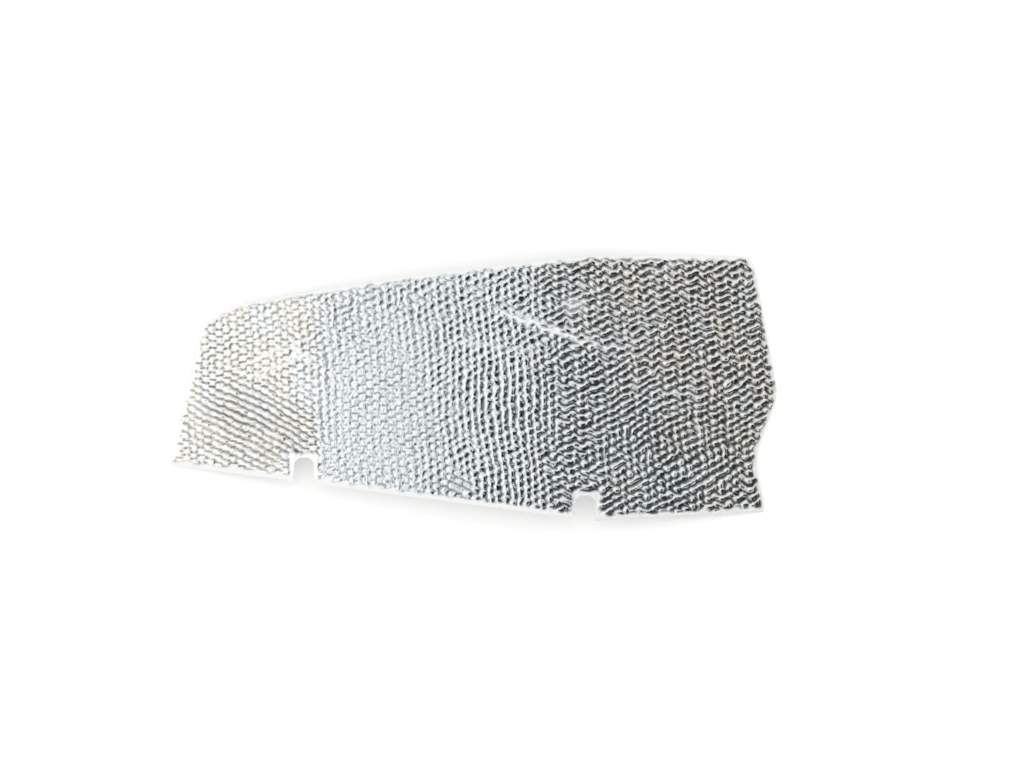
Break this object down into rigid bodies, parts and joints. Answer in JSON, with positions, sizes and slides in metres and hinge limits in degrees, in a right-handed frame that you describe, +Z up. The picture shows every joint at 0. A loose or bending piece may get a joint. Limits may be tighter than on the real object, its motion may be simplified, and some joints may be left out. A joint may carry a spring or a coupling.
{
  "type": "exhaust heat shield",
  "caption": "Thin embossed aluminium sheet, gently folded, with open notches in its lower edge: shields parts from the heat of an exhaust pipe.",
  "frame": {"origin": "on the surface that the shield lies on, under the middle of its box", "axes": "+X along the shield towards its round tip, +Y across it away from the notched edge, +Z up through the side with the raised bumps"},
  "size_m": [0.374, 0.1649, 0.0183],
  "materials": {
    "embossed_aluminium": "bright rolled, embossed all over, lightly worn"
  },
  "bodies": {
    "root": {"heat_shield": "embossed_aluminium"}
  },
  "joints": []
}
